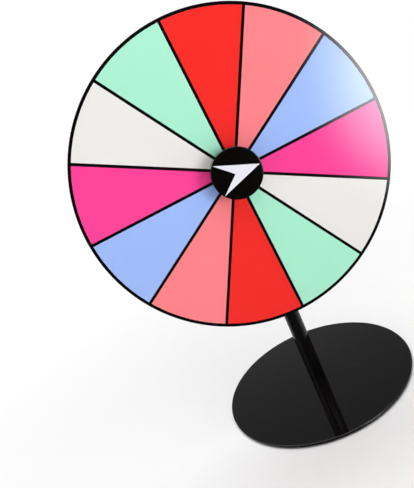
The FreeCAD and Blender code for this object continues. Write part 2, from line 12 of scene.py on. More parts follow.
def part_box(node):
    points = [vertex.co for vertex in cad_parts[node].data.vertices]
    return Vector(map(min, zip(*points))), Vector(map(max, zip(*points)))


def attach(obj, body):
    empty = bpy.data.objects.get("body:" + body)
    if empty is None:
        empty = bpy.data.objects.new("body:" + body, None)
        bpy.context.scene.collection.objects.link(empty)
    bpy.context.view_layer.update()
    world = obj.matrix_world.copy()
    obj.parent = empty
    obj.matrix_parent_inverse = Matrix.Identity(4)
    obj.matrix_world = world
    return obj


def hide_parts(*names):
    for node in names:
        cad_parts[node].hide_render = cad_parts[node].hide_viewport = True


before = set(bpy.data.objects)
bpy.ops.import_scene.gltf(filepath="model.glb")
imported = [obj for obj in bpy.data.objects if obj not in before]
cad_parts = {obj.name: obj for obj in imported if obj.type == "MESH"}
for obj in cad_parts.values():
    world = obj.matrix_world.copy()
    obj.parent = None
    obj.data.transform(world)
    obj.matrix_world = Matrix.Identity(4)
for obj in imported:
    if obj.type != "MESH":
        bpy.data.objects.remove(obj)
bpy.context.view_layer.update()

LOG = logging.getLogger("spinner")
MM = 0.001
MICRON = 0.000001
FLAT_REACH = 1.25
EDGE_SHARE = 0.49
Piece = bpy.types.Object
Node = bpy.types.Node
Socket = bpy.types.NodeSocket
Sockets = bpy.types.bpy_prop_collection
Place = tuple[float, float, float]
Colour = tuple[float, float, float]
Corner = tuple[float, float, float]
Profile = list[tuple[float, float]]


class Segments(Enum):
    """How finely a round piece is divided."""

    FINE = 288
    MEDIUM = 96
    FLOOR = 64
    SMALL = 48
    DRILL = 24
    HEXAGON = 6


# --- measuring the frame

@dataclass(frozen=True)
class Axle:
    """The axle's place: depth runs from the post towards the player, along -Y."""

    height: float

    def place(self, depth: float) -> Matrix:
        """Matrix that stands a piece's own Z axis on the axle.

        Args:
            depth: distance in front of the post's axis, in metres.

        Returns:
            The matrix from the piece's own axes to the frame.
        """
        slide = Matrix.Translation(Vector((0.0, -depth, self.height)))
        return slide @ Matrix.Rotation(math.pi / 2, 4, "X")


def node_depths(node: str) -> tuple[float, float]:
    """Back and front depth of a CAD node on the axle, in metres."""
    low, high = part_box(node)
    return -high[1], -low[1]


def node_heights(node: str) -> tuple[float, float]:
    """Lowest and highest point of a CAD node, in metres."""
    low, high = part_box(node)
    return low[2], high[2]


def node_radius(node: str) -> float:
    """Half of a round CAD node's width, in metres."""
    low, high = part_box(node)
    return (high[0] - low[0]) / 2


# --- bench tools

class Bench:
    """The operator steps that the pieces are shaped with."""

    @staticmethod
    def clear() -> None:
        """Leaves edit mode with nothing selected."""
        if bpy.context.object and bpy.context.object.mode != "OBJECT":
            bpy.ops.object.mode_set(mode="OBJECT")
        bpy.ops.object.select_all(action="DESELECT")

    @staticmethod
    def take(*pieces: Piece) -> None:
        """Selects the pieces, with the first one active."""
        Bench.clear()
        for piece in pieces:
            piece.select_set(True)
        bpy.context.view_layer.objects.active = pieces[0]

    @staticmethod
    def freeze() -> None:
        """Applies the selected piece's place, turn and size to its mesh."""
        bpy.ops.object.transform_apply(location=True, rotation=True, scale=True)

    @staticmethod
    def edit(piece: Piece) -> None:
        """Opens a piece in edit mode with everything in it selected."""
        Bench.take(piece)
        bpy.ops.object.mode_set(mode="EDIT")
        bpy.ops.mesh.select_mode(type="VERT")
        bpy.ops.mesh.select_all(action="SELECT")

    @staticmethod
    def close(piece: Piece, smooth_angle: float = 32.0) -> None:
        """Merges doubles, points the faces out and shades the piece.

        Args:
            piece: the finished shape, a closed mesh.
            smooth_angle: edges sharper than this, in degrees, stay sharp.
        """
        Bench.edit(piece)
        bpy.ops.mesh.remove_doubles(threshold=1e-7)
        bpy.ops.mesh.select_all(action="SELECT")
        bpy.ops.mesh.normals_make_consistent(inside=False)
        bpy.ops.object.mode_set(mode="OBJECT")
        bpy.ops.object.shade_smooth_by_angle(angle=math.radians(smooth_angle))

    @staticmethod
    def settle(piece: Piece, place: Matrix) -> None:
        """Moves the mesh to its place and leaves the object at the origin."""
        Bench.take(piece)
        piece.matrix_world = place @ piece.matrix_world
        Bench.freeze()

    @staticmethod
    def apply(piece: Piece, kind: str, **settings: object) -> None:
        """Adds a modifier with its settings and applies it."""
        Bench.take(piece)
        bpy.ops.object.modifier_add(type=kind)
        modifier = piece.modifiers[-1]
        for name, value in settings.items():
            setattr(modifier, name, value)
        bpy.ops.object.modifier_apply(modifier=modifier.name)

    @staticmethod
    def combine(piece: Piece, tool: Piece, operation: str) -> None:
        """Applies an exact boolean of tool to piece and throws the tool away."""
        Bench.apply(piece, "BOOLEAN", operation=operation, object=tool, solver="EXACT")
        Bench.take(tool)
        bpy.ops.object.delete()

    @staticmethod
    def join(pieces: list[Piece], name: str) -> Piece:
        """Joins pieces into one named object."""
        Bench.take(*pieces)
        bpy.ops.object.join()
        joined = bpy.context.object
        joined.name = name
        joined.data.name = name
        return joined

    @staticmethod
    def copy(piece: Piece, turn: float) -> Piece:
        """A copy with its own mesh, turned about the Z axis."""
        Bench.take(piece)
        bpy.ops.object.duplicate(linked=False)
        twin = bpy.context.object
        twin.matrix_world = Matrix.Rotation(turn, 4, "Z") @ twin.matrix_world
        Bench.freeze()
        return twin

    @staticmethod
    def rod(sides: Segments, radius: float, length: float, middle: Place = (0, 0, 0),
            turn: Place = (0, 0, 0)) -> Piece:
        """Adds a plain rod, to be cut or to cut with.

        Args:
            sides: how many sides it has.
            radius: its radius over the corners, in metres.
            length: its length, in metres.
            middle: where its middle is.
            turn: its turn about X, Y and Z, in radians.

        Returns:
            The rod.
        """
        Bench.clear()
        bpy.ops.mesh.primitive_cylinder_add(
            vertices=sides.value, radius=radius, depth=length, location=middle, rotation=turn,
        )
        return bpy.context.object

    @staticmethod
    def lathe(name: str, profile: Profile, segments: Segments, hollow: bool) -> Piece:
        """Raises a turned shape ring by ring, by extruding and scaling one circle.

        Args:
            name: the object's name.
            profile: (radius, height) of each ring, in metres, all radii above zero.
            segments: how many sides each ring has.
            hollow: True closes the last ring on the first, False leaves end caps.

        Returns:
            The shape, standing on the Z axis.
        """
        Bench.clear()
        radius, height = profile[0]
        bpy.ops.mesh.primitive_circle_add(
            vertices=segments.value,
            radius=radius,
            location=(0, 0, height),
            fill_type="NOTHING" if hollow else "NGON",
        )
        piece = bpy.context.object
        piece.name = name
        piece.data.name = name
        Bench.freeze()
        Bench.edit(piece)
        for next_radius, next_height in profile[1:]:
            rise = (0, 0, next_height - height)
            bpy.ops.mesh.extrude_region_move(TRANSFORM_OT_translate={"value": rise})
            scale = next_radius / radius
            bpy.ops.transform.resize(value=(scale, scale, 1), center_override=(0, 0, next_height))
            radius, height = next_radius, next_height
        if hollow:
            bpy.ops.mesh.select_all(action="DESELECT")
            bpy.ops.mesh.select_non_manifold()
            bpy.ops.mesh.bridge_edge_loops()
        Bench.close(piece)
        return piece


def rounded(corners: list[Corner], hollow: bool, steps: int) -> Profile:
    """A profile whose corners are rounded by arcs, with a narrow flat kept each side.

    The flat runs to FLAT_REACH times the arc's reach, but takes no more than EDGE_SHARE
    of the edge.

    Args:
        corners: (radius, height, rounding) of each corner, in metres.
        hollow: True if the profile runs round in a closed loop.
        steps: how many edges make each arc.

    Returns:
        The (radius, height) points.
    """
    points: Profile = []
    count = len(corners)
    for index, (radius, height, rounding) in enumerate(corners):
        here = Vector((radius, height))
        at_end = not hollow and index in (0, count - 1)
        if rounding <= 0 or at_end:
            points.append((here.x, here.y))
            continue
        before = Vector(corners[index - 1][:2])
        after = Vector(corners[(index + 1) % count][:2])
        back = (before - here).normalized()
        ahead = (after - here).normalized()
        half_turn = back.angle(ahead) / 2
        reach = rounding / math.tan(half_turn)
        centre = here + (back + ahead).normalized() * rounding / math.sin(half_turn)
        first = here + back * reach - centre
        sweep = first.angle_signed(here + ahead * reach - centre)
        lead = min(reach * FLAT_REACH, (before - here).length * EDGE_SHARE)
        trail = min(reach * FLAT_REACH, (after - here).length * EDGE_SHARE)
        points.append(tuple(here + back * lead))
        for step in range(steps + 1):
            angle = -sweep * step / steps
            points.append(tuple(centre + Matrix.Rotation(angle, 2) @ first))
        points.append(tuple(here + ahead * trail))
    return points


def turned(name: str, corners: list[Corner], segments: Segments, hollow: bool = True,
           steps: int = 5) -> Piece:
    """Turns a piece from its rounded corners, as Bench.lathe and rounded say."""
    return Bench.lathe(name, rounded(corners, hollow, steps), segments, hollow)


def ring_corners(bore: float, outer: float, low: float, high: float, edge: float) -> list[Corner]:
    """Corners of a plain ring, all rounded alike."""
    return [(bore, low, edge), (outer, low, edge), (outer, high, edge), (bore, high, edge)]


@dataclass(frozen=True)
class HexagonStock:
    """Hexagon bar that bolt heads and nuts are cut from, in metres and radians."""

    flats: float = 13.0 * MM
    face_share: float = 0.95
    side_share: float = 1.02
    overrun: float = 0.5 * MM
    chamfer_angle: float = math.radians(30)
    edge_break: float = 0.12 * MM

    @property
    def corner(self) -> float:
        """Radius over the corners."""
        return self.flats / math.sqrt(3)

    def cut(self, name: str, length: float) -> Piece:
        """Cuts the bar to length and turns its corners down at both ends.

        Args:
            name: the object's name.
            length: the blank's length.

        Returns:
            The blank, standing on Z = 0 with two corners on the X axis.
        """
        piece = Bench.rod(Segments.HEXAGON, self.corner, length, (0, 0, length / 2), (0, 0, math.pi / 6))
        piece.name = name
        Bench.freeze()
        face = self.flats / 2 * self.face_share
        side = self.corner * self.side_share
        drop = (self.corner - face) * math.tan(self.chamfer_angle)
        tip = face - self.overrun * (side - face) / drop
        low, high = -self.overrun, length + self.overrun
        profile = [(tip, low), (side, drop), (side, length - drop), (tip, high)]
        cones = Bench.lathe(f"{name}_turning", profile, Segments.MEDIUM, hollow=False)
        cones.rotation_euler.z = math.pi / Segments.MEDIUM.value
        Bench.combine(piece, cones, "INTERSECT")
        Bench.apply(piece, "BEVEL", width=self.edge_break, segments=2, limit_method="ANGLE",
                    angle_limit=math.radians(40))
        Bench.close(piece, 25.0)
        return piece


# --- shader node groups

class Sheet:
    """Shorthand for filling a node tree."""

    def __init__(self, tree: bpy.types.NodeTree) -> None:
        """Wraps a node tree."""
        self.tree = tree

    def node(self, kind: str, inputs: dict[str | int, object] | None = None, **settings: object) -> Node:
        """Adds a node.

        Args:
            kind: the node's type.
            inputs: a socket or a plain value for each of its inputs, by name or number.
            settings: its properties.

        Returns:
            The node.
        """
        added = self.tree.nodes.new(kind)
        for name, value in settings.items():
            setattr(added, name, value)
        for name, value in (inputs or {}).items():
            self.link(value, added.inputs[name])
        return added

    def link(self, source: object, target: Socket) -> None:
        """Joins two sockets, or sets a plain value on the target."""
        if isinstance(source, Socket):
            self.tree.links.new(source, target)
        else:
            target.default_value = source

    def place(self) -> Socket:
        """The place on the piece, in the frame's metres."""
        return self.node("ShaderNodeTexCoord").outputs["Object"]

    def axes(self, place: Socket) -> Sockets:
        """The X, Y and Z of a place or a direction."""
        return self.node("ShaderNodeSeparateXYZ", {0: place}).outputs

    def math(self, operation: str, *values: object) -> Socket:
        """A math node on sockets or numbers."""
        return self.node("ShaderNodeMath", dict(enumerate(values)), operation=operation).outputs[0]

    def noise(self, place: Socket, scale: object, detail: float, distortion: float = 0.0) -> Socket:
        """The value of a noise texture at a place."""
        inputs = {"Vector": place, "Scale": scale, "Detail": detail, "Distortion": distortion}
        return self.node("ShaderNodeTexNoise", inputs).outputs["Fac"]

    def stretched(self, place: Socket, turn: Place, scale: Place) -> Socket:
        """A place turned and scaled, so that a pattern on it runs in streaks."""
        inputs = {"Vector": place, "Rotation": turn, "Scale": scale}
        return self.node("ShaderNodeMapping", inputs).outputs["Vector"]

    def remap(self, value: Socket, low: float, high: float, start: float, end: float,
              ease: str = "LINEAR") -> Socket:
        """Maps a value from one range to another, held at the ends."""
        inputs = {"Value": value, "From Min": low, "From Max": high, "To Min": start, "To Max": end}
        return self.node("ShaderNodeMapRange", inputs, interpolation_type=ease).outputs["Result"]

    def mix(self, factor: object, first: object, second: object) -> Socket:
        """A colour mix."""
        inputs = {0: factor, 6: first, 7: second}
        return self.node("ShaderNodeMix", inputs, data_type="RGBA", blend_type="MIX").outputs[2]


@dataclass(frozen=True)
class Port:
    """One named socket of a node group."""

    name: str
    start: float | None = None
    kind: str = "NodeSocketFloat"


class Effect:
    """A shader effect shared by several finishes, kept as one node group."""

    title = ""
    inputs: tuple[Port, ...] = ()
    outputs: tuple[Port, ...] = ()

    @classmethod
    def group(cls) -> bpy.types.NodeTree:
        """The node group, built the first time that it is asked for."""
        known = bpy.data.node_groups.get(cls.title)
        if known:
            return known
        tree = bpy.data.node_groups.new(cls.title, "ShaderNodeTree")
        for direction, ports in (("INPUT", cls.inputs), ("OUTPUT", cls.outputs)):
            for port in ports:
                socket = tree.interface.new_socket(port.name, in_out=direction, socket_type=port.kind)
                if port.start is not None:
                    socket.default_value = port.start
        sheet = Sheet(tree)
        given = sheet.node("NodeGroupInput").outputs
        sheet.node("NodeGroupOutput", cls.fill(sheet, given))
        return tree

    @classmethod
    def fill(cls, sheet: Sheet, given: Sockets) -> dict[str, Socket]:
        """Lays out the group's nodes from its inputs, and returns its outputs by name."""
        raise NotImplementedError

    @classmethod
    def place(cls, sheet: Sheet, **values: object) -> Sockets:
        """Puts the group in a material with its own values, and returns its outputs."""
        inputs = {name.replace("_", " ").title(): value for name, value in values.items()}
        return sheet.node("ShaderNodeGroup", inputs, node_tree=cls.group()).outputs


class InkDensity(Effect):
    """The slight unevenness of a colour: slow drift and fine grain."""

    title = "Ink density"
    inputs = (Port("Colour", kind="NodeSocketColor"), Port("Drift", 0.03), Port("Grain", 0.02))
    outputs = (Port("Colour", kind="NodeSocketColor"),)

    @classmethod
    def fill(cls, sheet: Sheet, given: Sockets) -> dict[str, Socket]:
        """Scales the colour up and down by two noises."""
        place = sheet.place()
        slow = sheet.math("SUBTRACT", sheet.noise(place, 14.0, 2.0), 0.5)
        fine = sheet.math("SUBTRACT", sheet.noise(place, 2600.0, 1.0), 0.5)
        drift = sheet.math("MULTIPLY", slow, given["Drift"])
        grain = sheet.math("MULTIPLY", fine, given["Grain"])
        value = sheet.math("ADD", sheet.math("ADD", drift, grain), 1.0)
        shade = sheet.node("ShaderNodeHueSaturation", {"Color": given["Colour"], "Value": value})
        return {"Colour": shade.outputs["Color"]}


class HandlingMarks(Effect):
    """Faint finger smears and rub marks that dull a gloss here and there."""

    title = "Handling marks"
    inputs = (Port("Base Roughness", 0.1), Port("Smear", 0.05), Port("Size", 30.0))
    outputs = (Port("Roughness"),)

    @classmethod
    def fill(cls, sheet: Sheet, given: Sockets) -> dict[str, Socket]:
        """Adds soft patches, streaked by a stretched noise, to the roughness."""
        place = sheet.place()
        patch = sheet.remap(sheet.noise(place, given["Size"], 4.0, 0.8), 0.52, 0.72, 0.0, 1.0)
        streaks = sheet.stretched(place, (0.3, 0.9, 0.5), (1.0, 1.0, 14.0))
        streak = sheet.remap(sheet.noise(streaks, 120.0, 3.0), 0.4, 0.7, 0.3, 1.0)
        rough = sheet.math("MULTIPLY", sheet.math("MULTIPLY", patch, streak), given["Smear"])
        return {"Roughness": sheet.math("ADD", rough, given["Base Roughness"])}


class FineScratches(Effect):
    """Hair-thin scratches running in two crossing directions."""

    title = "Fine scratches"
    inputs = (Port("Amount", 0.5), Port("Scale", 300.0))
    outputs = (Port("Mask"),)

    @classmethod
    def fill(cls, sheet: Sheet, given: Sockets) -> dict[str, Socket]:
        """Keeps only the crests of two long stretched noises."""
        place = sheet.place()
        crests = []
        for turn in (0.35, -0.85):
            streaks = sheet.stretched(place, (turn, turn * 0.7, turn), (1.0, 0.05, 1.0))
            line = sheet.noise(streaks, given["Scale"], 3.0)
            crests.append(sheet.remap(line, 0.68, 0.74, 0.0, 1.0))
        return {"Mask": sheet.math("MULTIPLY", sheet.math("MAXIMUM", *crests), given["Amount"])}


class OrangePeel(Effect):
    """The fine waviness of sprayed enamel, rolled film or moulded plastic."""

    title = "Orange peel"
    inputs = (Port("Scale", 400.0),)
    outputs = (Port("Height"),)

    @classmethod
    def fill(cls, sheet: Sheet, given: Sockets) -> dict[str, Socket]:
        """A soft rounded noise, with a slower swell under it."""
        place = sheet.place()
        peel = sheet.noise(place, given["Scale"], 1.5)
        swell = sheet.noise(place, sheet.math("MULTIPLY", given["Scale"], 0.12), 1.0)
        return {"Height": sheet.math("ADD", peel, sheet.math("MULTIPLY", swell, 0.6))}


class DustSpecks(Effect):
    """Sparse pale specks of dust."""

    title = "Dust specks"
    inputs = (Port("Amount", 0.5), Port("Scale", 420.0))
    outputs = (Port("Mask"),)

    @classmethod
    def fill(cls, sheet: Sheet, given: Sockets) -> dict[str, Socket]:
        """Small dots at the middles of a few cells, thinned out by a slow noise."""
        place = sheet.place()
        inputs = {"Vector": place, "Scale": given["Scale"]}
        cells = sheet.node("ShaderNodeTexVoronoi", inputs, feature="F1")
        dot = sheet.remap(cells.outputs["Distance"], 0.05, 0.11, 1.0, 0.0)
        thin = sheet.remap(sheet.noise(place, 35.0, 3.0), 0.5, 0.7, 0.0, 1.0)
        return {"Mask": sheet.math("MULTIPLY", sheet.math("MULTIPLY", dot, thin), given["Amount"])}


class TurnedGrain(Effect):
    """The fine concentric tool marks of a turned face on the axle."""

    title = "Turned grain"
    inputs = (Port("Pitch", 3000.0), Port("Centre Height", 0.21))
    outputs = (Port("Height"),)

    @classmethod
    def fill(cls, sheet: Sheet, given: Sockets) -> dict[str, Socket]:
        """A ripple of the distance from the axle, broken up by noise."""
        place = sheet.place()
        axes = sheet.axes(place)
        rise = sheet.math("SUBTRACT", axes["Z"], given["Centre Height"])
        square = sheet.math("ADD", sheet.math("POWER", axes["X"], 2.0), sheet.math("POWER", rise, 2.0))
        across = sheet.math("MULTIPLY", sheet.math("SQRT", square), given["Pitch"])
        along = sheet.math("ADD", across, sheet.math("MULTIPLY", axes["Y"], given["Pitch"]))
        return {"Height": sheet.math("SINE", sheet.math("ADD", along, sheet.noise(place, 900.0, 2.0)))}


# --- finishes

def to_linear(red: float, green: float, blue: float) -> Colour:
    """Linear light of a display colour given on a 0 to 255 scale."""
    def channel(value: float) -> float:
        """Linear light of one channel."""
        share = value / 255
        return share / 12.92 if share <= 0.04045 else ((share + 0.055) / 1.055) ** 2.4
    return channel(red), channel(green), channel(blue)


@dataclass(frozen=True)
class Finish:
    """What every finish shares: a name and the principled shader's plain values."""

    name: str
    colour: Colour
    roughness: float = 0.3
    metallic: float = 0.0
    ior: float = 1.5

    def material(self) -> bpy.types.Material:
        """The finish's material, made once and then shared."""
        title = f"{self.name}_finish"
        known = bpy.data.materials.get(title)
        if known:
            return known
        material = bpy.data.materials.new(title)
        material.use_nodes = True
        material.node_tree.nodes.clear()
        sheet = Sheet(material.node_tree)
        shader = sheet.node("ShaderNodeBsdfPrincipled", {
            "Base Color": (*self.colour, 1.0),
            "Roughness": self.roughness,
            "Metallic": self.metallic,
            "IOR": self.ior,
        })
        sheet.node("ShaderNodeOutputMaterial", {"Surface": shader.outputs[0]})
        self.dress(sheet, shader.inputs)
        return material

    def dress(self, sheet: Sheet, shader: Sockets) -> None:
        """Adds the finish's own detail to the shader's inputs."""
        raise NotImplementedError

    def ink(self, sheet: Sheet, shader: Sockets, drift: float, grain: float) -> None:
        """Feeds the finish's colour to the shader, slightly uneven."""
        ink = InkDensity.place(sheet, colour=(*self.colour, 1.0), drift=drift, grain=grain)
        sheet.link(ink["Colour"], shader["Base Color"])

    def worn(self, sheet: Sheet, smear: float, size: float, scratched: float, scale: float) -> Socket:
        """The finish's roughness with finger smears and fine scratches on it."""
        marks = HandlingMarks.place(sheet, base_roughness=self.roughness, smear=smear, size=size)
        scratches = FineScratches.place(sheet, amount=scratched, scale=scale)
        return sheet.math("ADD", marks["Roughness"], scratches["Mask"])

    def bump(self, sheet: Sheet, shader: Sockets, height: Socket, depth: float) -> None:
        """Feeds a height into the shader's normal, its full swing given in metres."""
        relief = sheet.node("ShaderNodeBump", {"Strength": 1.0, "Distance": depth, "Height": height})
        sheet.link(relief.outputs["Normal"], shader["Normal"])


@dataclass(frozen=True)
class PrintedFilm(Finish):
    """Gloss printed film: ink, a clear face and the marks of fingers."""

    roughness: float = 0.09
    ior: float = 1.6

    def dress(self, sheet: Sheet, shader: Sockets) -> None:
        """Ink unevenness in the colour, smears and scratches in the gloss."""
        self.ink(sheet, shader, drift=0.035, grain=0.03)
        rough = self.worn(sheet, smear=0.06, size=26.0, scratched=0.12, scale=260.0)
        sheet.link(rough, shader["Roughness"])
        self.bump(sheet, shader, OrangePeel.place(sheet, scale=240.0)["Height"], 4 * MICRON)


@dataclass(frozen=True)
class BlackEnamel(Finish):
    """Smooth sprayed black enamel."""

    dust: float = 0.35
    dust_colour: Colour = (0.30, 0.29, 0.28)
    dust_roughness: float = 0.4

    def dress(self, sheet: Sheet, shader: Sockets) -> None:
        """A trace of dust in the colour and roughness, orange peel in the relief."""
        specks = DustSpecks.place(sheet, amount=self.dust, scale=300.0)["Mask"]
        tint = sheet.mix(specks, (*self.colour, 1.0), (*self.dust_colour, 1.0))
        sheet.link(tint, shader["Base Color"])
        rough = self.worn(sheet, smear=0.03, size=18.0, scratched=0.05, scale=180.0)
        dulled = sheet.math("ADD", rough, sheet.math("MULTIPLY", specks, self.dust_roughness))
        sheet.link(dulled, shader["Roughness"])
        self.bump(sheet, shader, OrangePeel.place(sheet, scale=160.0)["Height"], 1.5 * MICRON)


@dataclass(frozen=True)
class MouldedPlastic(Finish):
    """Moulded plastic with a fine spark-eroded or polished skin."""

    skin_scale: float = 1800.0
    skin_depth: float = 6 * MICRON

    def dress(self, sheet: Sheet, shader: Sockets) -> None:
        """Skin texture in the relief, slight mottling and handling marks."""
        self.ink(sheet, shader, drift=0.25, grain=0.1)
        marks = HandlingMarks.place(sheet, base_roughness=self.roughness, smear=0.08, size=60.0)
        sheet.link(marks["Roughness"], shader["Roughness"])
        skin = OrangePeel.place(sheet, scale=self.skin_scale)
        self.bump(sheet, shader, skin["Height"], self.skin_depth)


@dataclass(frozen=True)
class TurnedMetal(Finish):
    """Machined or plated metal with concentric tool marks."""

    metallic: float = 1.0

    def dress(self, sheet: Sheet, shader: Sockets) -> None:
        """Tool marks in the relief, smears and scratches in the gloss."""
        self.ink(sheet, shader, drift=0.12, grain=0.06)
        rough = self.worn(sheet, smear=0.12, size=90.0, scratched=0.15, scale=700.0)
        sheet.link(rough, shader["Roughness"])
        grain = TurnedGrain.place(sheet, pitch=14000.0, centre_height=HUB_HEIGHT)
        self.bump(sheet, shader, grain["Height"], 4 * MICRON)


@dataclass(frozen=True)
class CellularPad(Finish):
    """Closed-cell foam rubber."""

    def dress(self, sheet: Sheet, shader: Sockets) -> None:
        """Small open cells in the relief and a mottled dark colour."""
        inputs = {"Vector": sheet.place(), "Scale": 1500.0}
        cells = sheet.node("ShaderNodeTexVoronoi", inputs, feature="F1")
        self.ink(sheet, shader, drift=0.4, grain=0.3)
        self.bump(sheet, shader, cells.outputs["Distance"], 80 * MICRON)


@dataclass(frozen=True)
class MilkyAcrylic(Finish):
    """Milky acrylic with the print on its face showing faintly through it."""

    tints: tuple[Colour, ...] = ()
    first_line: float = 0.0
    line_blur: float = 0.018
    line_shade: float = 0.45
    print_share: float = 0.42

    def dress(self, sheet: Sheet, shader: Sockets) -> None:
        """Pale wedges of the sector colours, blurred together at the lines."""
        axes = sheet.axes(sheet.place())
        rise = sheet.math("SUBTRACT", axes["Z"], HUB_HEIGHT)
        angle = sheet.math("ARCTAN2", rise, axes["X"])
        turn = sheet.math("DIVIDE", sheet.math("SUBTRACT", angle, self.first_line), math.pi)
        share = sheet.math("FRACT", sheet.math("ADD", turn, 2.0))
        ramp = sheet.node("ShaderNodeValToRGB", {"Fac": share})
        marks = ramp.color_ramp.elements
        count = len(self.tints)
        line = tuple(self.line_shade * value for value in self.colour)
        marks[0].color = (*line, 1.0)
        marks[1].color = (*line, 1.0)
        for index, tint in enumerate(self.tints):
            marks.new(index / count + self.line_blur).color = (*tint, 1.0)
            marks.new((index + 1) / count - self.line_blur).color = (*tint, 1.0)
            if index:
                marks.new(index / count).color = (*line, 1.0)
        tinted = sheet.mix(self.print_share, (*self.colour, 1.0), ramp.outputs["Color"])
        ink = InkDensity.place(sheet, colour=tinted, drift=0.03, grain=0.02)
        sheet.link(ink["Colour"], shader["Base Color"])
        rough = self.worn(sheet, smear=0.08, size=22.0, scratched=0.12, scale=200.0)
        sheet.link(rough, shader["Roughness"])
        self.bump(sheet, shader, OrangePeel.place(sheet, scale=120.0)["Height"], 3 * MICRON)


class Hue(Enum):
    """The six printed colours, in the order that they follow the first line."""

    BLUE = to_linear(160, 188, 249)
    SALMON = to_linear(255, 133, 139)
    RED = to_linear(245, 46, 41)
    MINT = to_linear(171, 239, 209)
    WHITE = to_linear(236, 234, 230)
    PINK = to_linear(255, 68, 154)

    @property
    def title(self) -> str:
        """The hue's name in lower case, as in the CAD nodes."""
        return self.name.lower()


HUB_HEIGHT = (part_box("wheel_disc")[0][2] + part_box("wheel_disc")[1][2]) / 2
FIRST_LINE = math.radians(4.0)

BLACK_FILM = PrintedFilm("black_print", to_linear(6, 5, 5))
ARROW_FILM = PrintedFilm("white_cut_film", to_linear(231, 231, 242), roughness=0.2, ior=1.5)
ENAMEL = BlackEnamel("gloss_black_enamel", to_linear(14, 12, 12), roughness=0.035)
CAP_PLASTIC = MouldedPlastic("gloss_black_cap", to_linear(5, 4, 3), roughness=0.13,
                             skin_scale=900.0, skin_depth=2 * MICRON)
NYLON = MouldedPlastic("satin_black_nylon", to_linear(30, 30, 31), roughness=0.42)
ZINC = TurnedMetal("zinc_plate", (0.62, 0.63, 0.66), roughness=0.22)
BEARING_STEEL = TurnedMetal("ground_bearing_steel", (0.70, 0.71, 0.73), roughness=0.12)
ALUMINIUM = TurnedMetal("turned_aluminium", (0.77, 0.78, 0.79), roughness=0.26)
BRASS = TurnedMetal("cage_brass", (0.72, 0.52, 0.25), roughness=0.28)
PAD_FOAM = CellularPad("pad_foam", to_linear(34, 34, 36), roughness=0.85)
ACRYLIC = MilkyAcrylic("milky_acrylic", to_linear(228, 229, 227), roughness=0.12,
                       tints=tuple(hue.value for hue in Hue), first_line=FIRST_LINE)

FRAME_FINISHES: tuple[tuple[Finish, tuple[str, ...]], ...] = (
    (ZINC, ("post_screw", "post_plug", "axle_washer", "lock_nut", "clamp_screws")),
    (NYLON, ("front_saddle_washer", "rear_saddle_washer")),
    (ALUMINIUM, ("middle_spacer_sleeve", "rear_spacer_sleeve")),
    (BRASS, ("front_ball_cage", "rear_ball_cage")),
    (BEARING_STEEL, tuple(
        f"{side}_bearing_{ring}"
        for side in ("front", "rear")
        for ring in ("inner_ring", "outer_ring", "balls", "shields")
    )),
)


def dress_frame_nodes() -> None:
    """Gives the CAD nodes that stay in view their finishes."""
    for finish, nodes in FRAME_FINISHES:
        for node in nodes:
            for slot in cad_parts[node].material_slots:
                slot.material = finish.material()
            LOG.info("%s: finished in %s", node, finish.name)


def hand_over(piece: Piece, body: str, finish: Finish, node: str) -> None:
    """Gives a finished piece its material and its place in the assembly.

    Args:
        piece: the piece, already in its place.
        body: the CAD body that it moves with.
        finish: its finish.
        node: the CAD node that it stands for.
    """
    piece.data.materials.clear()
    piece.data.materials.append(finish.material())
    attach(piece, body)
    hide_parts(node)
    LOG.info("%s: %d faces on %s", piece.name, len(piece.data.polygons), body)


# --- sub-assemblies

